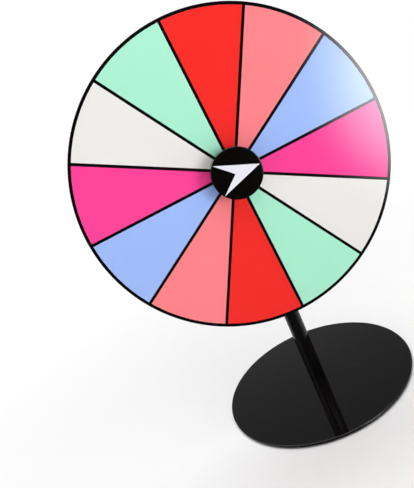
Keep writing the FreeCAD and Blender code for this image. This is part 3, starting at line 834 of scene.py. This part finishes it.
@dataclass(frozen=True)
class BaseAssembly:
    """The plate, its pad, the post and the post's cap."""

    plate_round: float = 0.6 * MM
    pad_round: float = 0.35 * MM
    pad_bore: float = 9.0 * MM
    post_wall: float = 1.0 * MM
    post_round: float = 0.2 * MM
    axle_hole: float = 4.05 * MM
    screw_hole: float = 2.7 * MM
    screw_head: float = 4.5 * MM
    cap_wall: float = 1.2 * MM
    cap_edge: float = 0.15 * MM
    cap_crown: float = 1.3 * MM

    def build(self) -> None:
        """Builds the four pieces."""
        self.build_pad()
        self.build_plate()
        self.build_post()
        self.build_cap()

    def build_pad(self) -> None:
        """The anti-slip ring, with soft edges."""
        low, high = node_heights("base_pad")
        corners = ring_corners(self.pad_bore, node_radius("base_pad"), low, high, self.pad_round)
        pad = turned("anti_slip_pad", corners, Segments.FINE, steps=3)
        hand_over(pad, "stand", PAD_FOAM, "base_pad")

    def build_plate(self) -> None:
        """The turned plate, countersunk from below."""
        low, high = node_heights("base_plate")
        outer = node_radius("base_plate")
        sink = low + self.screw_head - self.screw_hole
        corners = [
            (self.screw_head, low, 0.0), (outer, low, self.plate_round),
            (outer, high, self.plate_round), (self.screw_hole, high, 0.0), (self.screw_hole, sink, 0.0),
        ]
        plate = turned("base_disc", corners, Segments.FINE, steps=6)
        hand_over(plate, "stand", ENAMEL, "base_plate")

    def build_post(self) -> None:
        """The tube, its ends broken, drilled across for the axle."""
        low, high = node_heights("post_tube")
        outer = node_radius("post_tube")
        inner = outer - self.post_wall
        edge = self.post_round
        corners = [(inner, low, 0.0), (outer, low, edge), (outer, high, edge), (inner, high, 0.0)]
        post = turned("post", corners, Segments.MEDIUM, steps=3)
        across = (math.pi / 2, 0, 0)
        hole = Bench.rod(Segments.SMALL, self.axle_hole, outer * 4, (0, 0, HUB_HEIGHT), across)
        Bench.combine(post, hole, "DIFFERENCE")
        Bench.close(post, 30.0)
        hand_over(post, "stand", ENAMEL, "post_tube")

    def build_cap(self) -> None:
        """The plug with its shallow crown."""
        low, high = node_heights("post_cap")
        outer = node_radius("post_cap")
        skirt = outer - self.post_wall
        inner = skirt - self.cap_wall
        shoulder = node_heights("post_tube")[1]
        corners = [
            (inner * 0.2, shoulder, 0.0), (inner, shoulder, 0.0),
            (inner, low, self.post_round), (skirt, low, self.post_round), (skirt, shoulder, 0.0),
            (outer, shoulder, self.cap_edge), (outer, high, self.cap_crown), (outer * 0.2, high, 0.0),
        ]
        cap = turned("post_top", corners, Segments.MEDIUM, hollow=False, steps=6)
        hand_over(cap, "stand", CAP_PLASTIC, "post_cap")


@dataclass(frozen=True)
class AxleAssembly:
    """The bolt and the thin nut that clamps it to the post."""

    axle: Axle
    stock: HexagonStock = HexagonStock()
    shank: float = 4.0 * MM
    head_height: float = 5.3 * MM
    end_round: float = 0.5 * MM
    bore_length: float = 30.0 * MM

    def build(self) -> None:
        """Builds the two pieces."""
        self.build_bolt()
        self.build_jam_nut()

    def build_bolt(self) -> None:
        """The hexagon bolt, its head turned down and its end broken."""
        back, front = node_depths("axle_bolt")
        length = front - back
        bolt = self.stock.cut("axle_bolt_head", self.head_height)
        corners = [
            (self.shank, self.head_height * 0.5, 0.0), (self.shank, length, self.end_round),
            (self.shank * 0.3, length, 0.0),
        ]
        shank = turned("axle_bolt_shank", corners, Segments.SMALL, hollow=False, steps=3)
        Bench.combine(bolt, shank, "UNION")
        Bench.close(bolt, 25.0)
        bolt.name = "hexagon_bolt"
        Bench.settle(bolt, self.axle.place(back))
        hand_over(bolt, "stand", ZINC, "axle_bolt")

    def build_jam_nut(self) -> None:
        """The thin nut, bored for the bolt."""
        back, front = node_depths("jam_nut")
        nut = self.stock.cut("thin_nut", front - back)
        Bench.combine(nut, Bench.rod(Segments.SMALL, self.shank, self.bore_length), "DIFFERENCE")
        Bench.close(nut, 25.0)
        Bench.settle(nut, self.axle.place(back))
        hand_over(nut, "stand", ZINC, "jam_nut")


@dataclass(frozen=True)
class WheelAssembly:
    """The disc, its printed face and the hub that carries it."""

    axle: Axle
    border: float = 2.5 * MM
    line: float = 2.4 * MM
    film_bore: float = 18.3 * MM
    film_gap: float = 0.08 * MM
    line_gap: float = 0.2 * MM
    disc_bore: float = 12.55 * MM
    rim_round: float = 0.5 * MM
    face_round: float = 0.12 * MM
    sectors: int = 12
    barrel: float = 14.0 * MM
    spigot: float = 12.5 * MM
    land: float = 9.8 * MM
    mouth_round: float = 0.15 * MM
    barrel_round: float = 0.5 * MM
    fillet: float = 0.9 * MM
    flange_round: float = 0.6 * MM
    seat_round: float = 0.2 * MM
    flange_thickness: float = 3.0 * MM
    clamp_bore: float = 10.0 * MM
    clamp_round: float = 0.3 * MM
    screws: int = 6
    screw_circle: float = 15.6 * MM
    clearance_hole: float = 1.35 * MM
    threaded_hole: float = 1.25 * MM
    drill_length: float = 200.0 * MM

    def build(self) -> None:
        """Builds the disc, its films and the hub."""
        self.build_disc()
        self.build_sectors()
        self.build_lines()
        self.build_housing()
        self.build_clamp_ring()

    def build_disc(self) -> None:
        """The acrylic disc, its rim flame-polished round."""
        back, front = node_depths("wheel_disc")
        outer = node_radius("wheel_disc")
        bore = self.disc_bore
        depth = front - back
        corners = [
            (bore, 0.0, 0.0), (outer, 0.0, self.rim_round),
            (outer, depth, self.face_round), (bore, depth, 0.0),
        ]
        disc = turned("acrylic_disc", corners, Segments.FINE)
        self.drill(disc, self.clearance_hole)
        Bench.settle(disc, self.axle.place(back))
        hand_over(disc, "wheel", ACRYLIC, "wheel_disc")

    def wedge(self, outer: float, thickness: float) -> Piece:
        """One sector of film, its middle on the X axis.

        Args:
            outer: the sector's outer radius.
            thickness: the film's thickness.

        Returns:
            The wedge, on the Z = 0 plane.
        """
        Bench.clear()
        bpy.ops.mesh.primitive_circle_add(vertices=Segments.FINE.value, radius=outer)
        piece = bpy.context.object
        Bench.edit(piece)
        scale = self.film_bore / outer
        bpy.ops.mesh.extrude_region_move(TRANSFORM_OT_translate={"value": (0, 0, 0)})
        bpy.ops.transform.resize(value=(scale, scale, 1), center_override=(0, 0, 0))
        half_sector = math.pi / self.sectors
        for side in (1, -1):
            normal = Vector((-math.sin(half_sector), side * math.cos(half_sector), 0))
            edge = normal * -self.line / 2
            bpy.ops.mesh.select_all(action="SELECT")
            bpy.ops.mesh.bisect(plane_co=edge, plane_no=normal, clear_outer=True, use_fill=False)
        bpy.ops.mesh.select_all(action="SELECT")
        bpy.ops.mesh.extrude_region_move(TRANSFORM_OT_translate={"value": (0, 0, thickness)})
        Bench.close(piece)
        return piece

    def build_sectors(self) -> None:
        """The two opposite wedges of each colour."""
        back, front = node_depths("red_sector_film")
        outer = node_radius("wheel_disc") - self.border - self.film_gap
        pattern = self.wedge(outer, front - back)
        step = 2 * math.pi / self.sectors
        for index, hue in enumerate(Hue):
            turn = FIRST_LINE + (index + 0.5) * step
            pair = [Bench.copy(pattern, turn), Bench.copy(pattern, turn + math.pi)]
            film = Bench.join(pair, f"{hue.title}_sectors")
            Bench.settle(film, self.axle.place(back))
            finish = PrintedFilm(f"{hue.title}_print", hue.value)
            hand_over(film, "wheel", finish, f"{hue.title}_sector_film")
        Bench.take(pattern)
        bpy.ops.object.delete()

    def build_lines(self) -> None:
        """The border ring and the lines, fused into one film."""
        back, front = node_depths("black_line_film")
        thickness = front - back
        outer = node_radius("wheel_disc")
        inner = outer - self.border
        corners = [(inner, 0.0), (outer, 0.0), (outer, thickness), (inner, thickness)]
        ring = Bench.lathe("black_lines", corners, Segments.FINE, hollow=True)
        start = self.film_bore + self.line_gap
        end = outer - self.border / 2
        middle = (start + end) / 2
        bars = []
        for index in range(self.sectors):
            turn = FIRST_LINE + index * 2 * math.pi / self.sectors
            Bench.clear()
            bpy.ops.mesh.primitive_cube_add(
                size=1,
                location=(middle * math.cos(turn), middle * math.sin(turn), thickness / 2),
                rotation=(0, 0, turn),
                scale=(end - start, self.line, thickness),
            )
            Bench.freeze()
            bars.append(bpy.context.object)
        Bench.combine(ring, Bench.join(bars, "line_bars"), "UNION")
        Bench.close(ring)
        Bench.settle(ring, self.axle.place(back))
        hand_over(ring, "wheel", BLACK_FILM, "black_line_film")

    def build_housing(self) -> None:
        """The flanged bearing housing, with a moulded fillet and drilled flange."""
        back, front = node_depths("bearing_housing")
        disc_back = node_depths("wheel_disc")[0]
        bearing = node_radius("rear_bearing_outer_ring")
        flange = node_radius("bearing_housing")
        flange_back = disc_back - self.flange_thickness
        rear_face = node_depths("rear_bearing_outer_ring")[1]
        front_back = node_depths("front_bearing_outer_ring")[0]
        corners = [
            (bearing, back, self.mouth_round), (self.barrel, back, self.barrel_round),
            (self.barrel, flange_back, self.fillet), (flange, flange_back, self.flange_round),
            (flange, disc_back, self.seat_round), (self.spigot, disc_back, 0.0),
            (self.spigot, front, 0.0), (bearing, front, 0.0), (bearing, front_back, 0.0),
            (self.land, front_back, 0.0), (self.land, rear_face, 0.0), (bearing, rear_face, 0.0),
        ]
        housing = turned("hub_housing", corners, Segments.MEDIUM)
        self.drill(housing, self.threaded_hole)
        Bench.settle(housing, self.axle.place(0.0))
        hand_over(housing, "wheel", NYLON, "bearing_housing")

    def build_clamp_ring(self) -> None:
        """The ring under the pointer cap."""
        back, front = node_depths("clamp_ring")
        corners = ring_corners(self.clamp_bore, node_radius("clamp_ring"), back, front, self.clamp_round)
        ring = turned("bearing_clamp", corners, Segments.MEDIUM, steps=3)
        self.drill(ring, self.clearance_hole)
        Bench.settle(ring, self.axle.place(0.0))
        hand_over(ring, "wheel", ALUMINIUM, "clamp_ring")

    def drill(self, piece: Piece, radius: float) -> None:
        """Drills the clamp screws' holes through a piece on the Z axis."""
        drills = []
        for index in range(self.screws):
            turn = index * 2 * math.pi / self.screws
            middle = (self.screw_circle * math.cos(turn), self.screw_circle * math.sin(turn), 0)
            drills.append(Bench.rod(Segments.DRILL, radius, self.drill_length, middle))
            Bench.freeze()
        Bench.combine(piece, Bench.join(drills, "drills"), "DIFFERENCE")
        Bench.close(piece, 30.0)


@dataclass(frozen=True)
class PointerAssembly:
    """The black cap over the lock nut and the arrow on it."""

    axle: Axle
    stock: HexagonStock = HexagonStock()
    wall: float = 1.2 * MM
    face_wall: float = 2.0 * MM
    edge_round: float = 0.6 * MM
    rim_round: float = 0.3 * MM
    inner_round: float = 0.5 * MM
    boss: float = 9.3 * MM
    boss_inset: float = 2.2 * MM
    pocket_depth: float = 6.2 * MM
    notch: float = -1.4 * MM
    arrow_bevel: float = 0.08 * MM

    def build(self) -> None:
        """Builds the cap and the arrow."""
        self.build_cap()
        self.build_arrow()

    def build_cap(self) -> None:
        """The moulded cap with its inner boss and hexagon pocket."""
        back, front = node_depths("pointer_cap")
        outer = node_radius("pointer_cap")
        inner = outer - self.wall
        under = front - self.face_wall
        boss_back = back + self.boss_inset
        corners = [
            (self.boss * 0.2, boss_back, 0.0), (self.boss, boss_back, self.rim_round),
            (self.boss, under, 0.0), (inner, under, self.inner_round),
            (inner, back, self.rim_round), (outer, back, self.rim_round),
            (outer, front, self.edge_round), (outer * 0.2, front, 0.0),
        ]
        cap = turned("arrow_cap", corners, Segments.FINE, hollow=False, steps=6)
        pocket = Bench.rod(Segments.HEXAGON, self.stock.corner, 2 * self.pocket_depth,
                           (0, 0, boss_back), (0, 0, math.pi / 6))
        Bench.combine(cap, pocket, "DIFFERENCE")
        Bench.close(cap, 30.0)
        Bench.settle(cap, self.axle.place(0.0))
        hand_over(cap, "stand", CAP_PLASTIC, "pointer_cap")

    def build_arrow(self) -> None:
        """The notched arrow: a square pulled into shape, thickened and edged."""
        back, front = node_depths("pointer_arrow")
        low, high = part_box("pointer_arrow")
        tip, tail = high[0], low[0]
        half_width = (high[2] - low[2]) / 2
        Bench.clear()
        bpy.ops.mesh.primitive_circle_add(vertices=4, radius=1.0, fill_type="NOTHING")
        arrow = bpy.context.object
        arrow.name = "white_arrow"
        targets = [(tip, 0.0), (tail, half_width), (self.notch, 0.0), (tail, -half_width)]
        full_turn = 2 * math.pi - 1e-4
        corners = sorted(arrow.data.vertices, key=lambda corner: math.atan2(*corner.co.yx) % full_turn)
        for corner, (x, y) in zip(corners, targets):
            corner.co = (x, y, 0.0)
        Bench.edit(arrow)
        bpy.ops.mesh.edge_face_add()
        bpy.ops.mesh.extrude_region_move(TRANSFORM_OT_translate={"value": (0, 0, front - back)})
        Bench.close(arrow)
        Bench.apply(arrow, "BEVEL", width=self.arrow_bevel, segments=2, limit_method="ANGLE",
                    angle_limit=math.radians(60))
        Bench.close(arrow, 30.0)
        Bench.settle(arrow, self.axle.place(back))
        hand_over(arrow, "stand", ARROW_FILM, "pointer_arrow")


# --- studio

def aim(heading: float, elevation: float) -> Vector:
    """Unit vector from the hub, heading 0 in front of the wheel and positive to the right."""
    turn, rise = math.radians(heading), math.radians(elevation)
    return Vector((math.sin(turn) * math.cos(rise), -math.cos(turn) * math.cos(rise), math.sin(rise)))


@dataclass(frozen=True)
class SoftBox:
    """A large rectangular light: its direction in degrees, its sizes in metres, its watts."""

    name: str
    heading: float
    elevation: float
    distance: float
    width: float
    height: float
    power: float

    def hang(self, target: Vector) -> None:
        """Hangs the light at its distance from the target and turns it to it."""
        data = bpy.data.lights.new(self.name, "AREA")
        data.shape = "RECTANGLE"
        data.size = self.width
        data.size_y = self.height
        data.energy = self.power
        lamp = bpy.data.objects.new(self.name, data)
        bpy.context.scene.collection.objects.link(lamp)
        away = aim(self.heading, self.elevation)
        lamp.location = target + away * self.distance
        lamp.rotation_euler = (-away).to_track_quat("-Z", "Y").to_euler()
        lamp.visible_camera = False


@dataclass(frozen=True)
class Glow:
    """A round soft light painted on the studio's walls, its angles in degrees."""

    heading: float
    elevation: float
    core: float
    edge: float
    radiance: float

    def paint(self, sheet: Sheet, direction: Socket) -> Socket:
        """The light that comes from each direction.

        Args:
            sheet: the world's node tree.
            direction: the direction looked in.

        Returns:
            The radiance, full inside the core angle and gone at the edge angle.
        """
        inputs = {0: direction, 1: aim(self.heading, self.elevation)}
        dot = sheet.node("ShaderNodeVectorMath", inputs, operation="DOT_PRODUCT").outputs["Value"]
        angle = sheet.math("ARCCOSINE", dot)
        core, edge = math.radians(self.core), math.radians(self.edge)
        return sheet.remap(angle, core, edge, self.radiance, 0.0, "SMOOTHSTEP")


@dataclass(frozen=True)
class Studio:
    """Camera, floor and lights."""

    floor_radius: float = 12.0
    fade_start: float = 0.10
    fade_end: float = 0.5
    camera_place: Vector = Vector((-28.0, -390.3, 248.1)) * MM
    heading: float = -2.11
    pitch: float = -9.77
    roll: float = -23.3
    lens: float = 34.3
    shift: tuple[float, float] = (-0.043, -0.080)
    front_dark: float = 0.03
    back_light: float = 0.20
    floor_sheen: float = 0.75
    key: Glow = Glow(33.0, -4.0, 5.0, 18.5, 14.0)
    side: Glow = Glow(78.0, -30.0, 8.0, 40.0, 0.55)
    left: Glow = Glow(-72.0, 12.0, 12.0, 42.0, 1.4)
    back: Glow = Glow(180.0, 5.0, 5.0, 40.0, 0.26)
    overhead: Glow = Glow(180.0, 80.0, 15.0, 43.0, 3.9)
    fill: SoftBox = SoftBox("fill_softbox", 25.0, 46.0, 0.75, 0.7, 0.5, 1.84)

    def build(self) -> None:
        """Sets up the whole studio."""
        self.build_camera()
        self.build_floor()
        self.build_world()
        self.fill.hang(Vector((0.0, -0.03, HUB_HEIGHT)))
        bpy.context.scene.view_settings.view_transform = "Standard"

    def build_camera(self) -> None:
        """The camera, rolled as if held in the hand."""
        data = bpy.data.cameras.new("camera")
        data.lens = self.lens
        data.sensor_width = 36.0
        data.shift_x, data.shift_y = self.shift
        data.clip_start = 0.01
        data.clip_end = 50.0
        camera = bpy.data.objects.new("camera", data)
        bpy.context.scene.collection.objects.link(camera)
        ahead = -aim(self.heading, -self.pitch)
        level = ahead.cross(Vector((0, 0, 1))).normalized()
        above = level.cross(ahead)
        tilt = math.radians(self.roll)
        right = level * math.cos(tilt) + above * math.sin(tilt)
        up = above * math.cos(tilt) - level * math.sin(tilt)
        axes = Matrix((right, up, -ahead)).transposed().to_4x4()
        camera.matrix_world = Matrix.Translation(self.camera_place) @ axes
        bpy.context.scene.camera = camera

    def build_floor(self) -> None:
        """A plain pale floor that melts into the white of the room."""
        Bench.clear()
        bpy.ops.mesh.primitive_circle_add(
            vertices=Segments.FLOOR.value, radius=self.floor_radius, fill_type="NGON",
        )
        floor = bpy.context.object
        floor.name = "floor"
        material = bpy.data.materials.new("pale_floor")
        material.use_nodes = True
        nodes = material.node_tree.nodes
        sheet = Sheet(material.node_tree)
        shader = nodes["Principled BSDF"]
        shader.inputs["Roughness"].default_value = 0.9
        place = sheet.place()
        grain = sheet.noise(place, 40.0, 3.0)
        tint = sheet.mix(grain, (0.92, 0.92, 0.92, 1.0), (0.95, 0.95, 0.95, 1.0))
        sheet.link(tint, shader.inputs["Base Color"])
        white = sheet.node("ShaderNodeEmission").outputs[0]
        reach = sheet.node("ShaderNodeVectorMath", {0: place}, operation="LENGTH").outputs["Value"]
        fade = sheet.remap(reach, self.fade_start, self.fade_end, 0.0, 1.0)
        seen = sheet.node("ShaderNodeLightPath").outputs["Is Camera Ray"]
        faded = sheet.math("MULTIPLY", fade, seen)
        blend = sheet.node("ShaderNodeMixShader", {0: faded, 1: shader.outputs[0], 2: white})
        sheet.link(blend.outputs[0], nodes["Material Output"].inputs["Surface"])
        floor.data.materials.append(material)
        floor.visible_glossy = False
        floor.visible_shadow = False

    def build_world(self) -> None:
        """White to the eye; to the object, dark in front, with the painted lights round it."""
        world = bpy.data.worlds.new("studio")
        bpy.context.scene.world = world
        world.use_nodes = True
        world.node_tree.nodes.clear()
        sheet = Sheet(world.node_tree)
        direction = sheet.node("ShaderNodeTexCoord").outputs["Generated"]
        axes = sheet.axes(direction)
        walls = sheet.remap(axes["Y"], -0.3, 0.5, self.front_dark, self.back_light)
        below = sheet.remap(axes["Z"], -0.3, -0.02, self.floor_sheen, 0.0)
        behind = sheet.remap(axes["Y"], -0.1, 0.4, 0.0, 1.0)
        glow = sheet.math("ADD", walls, sheet.math("MULTIPLY", below, behind))
        for light in (self.key, self.overhead, self.side, self.left, self.back):
            glow = sheet.math("ADD", glow, light.paint(sheet, direction))
        room = sheet.node("ShaderNodeBackground", {"Strength": glow}).outputs[0]
        white = sheet.node("ShaderNodeBackground", {"Color": (1.0, 1.0, 1.0, 1.0)}).outputs[0]
        seen = sheet.node("ShaderNodeLightPath").outputs["Is Camera Ray"]
        choice = sheet.node("ShaderNodeMixShader", {0: seen, 1: room, 2: white}).outputs[0]
        sheet.node("ShaderNodeOutputWorld", {"Surface": choice})


def main() -> None:
    """Builds the studio and every sub-assembly in order."""
    logging.basicConfig(level=logging.INFO, format="%(name)s %(message)s")
    Studio().build()
    axle = Axle(HUB_HEIGHT)
    BaseAssembly().build()
    AxleAssembly(axle).build()
    WheelAssembly(axle).build()
    PointerAssembly(axle).build()
    dress_frame_nodes()


if __name__ == "__main__":
    main()
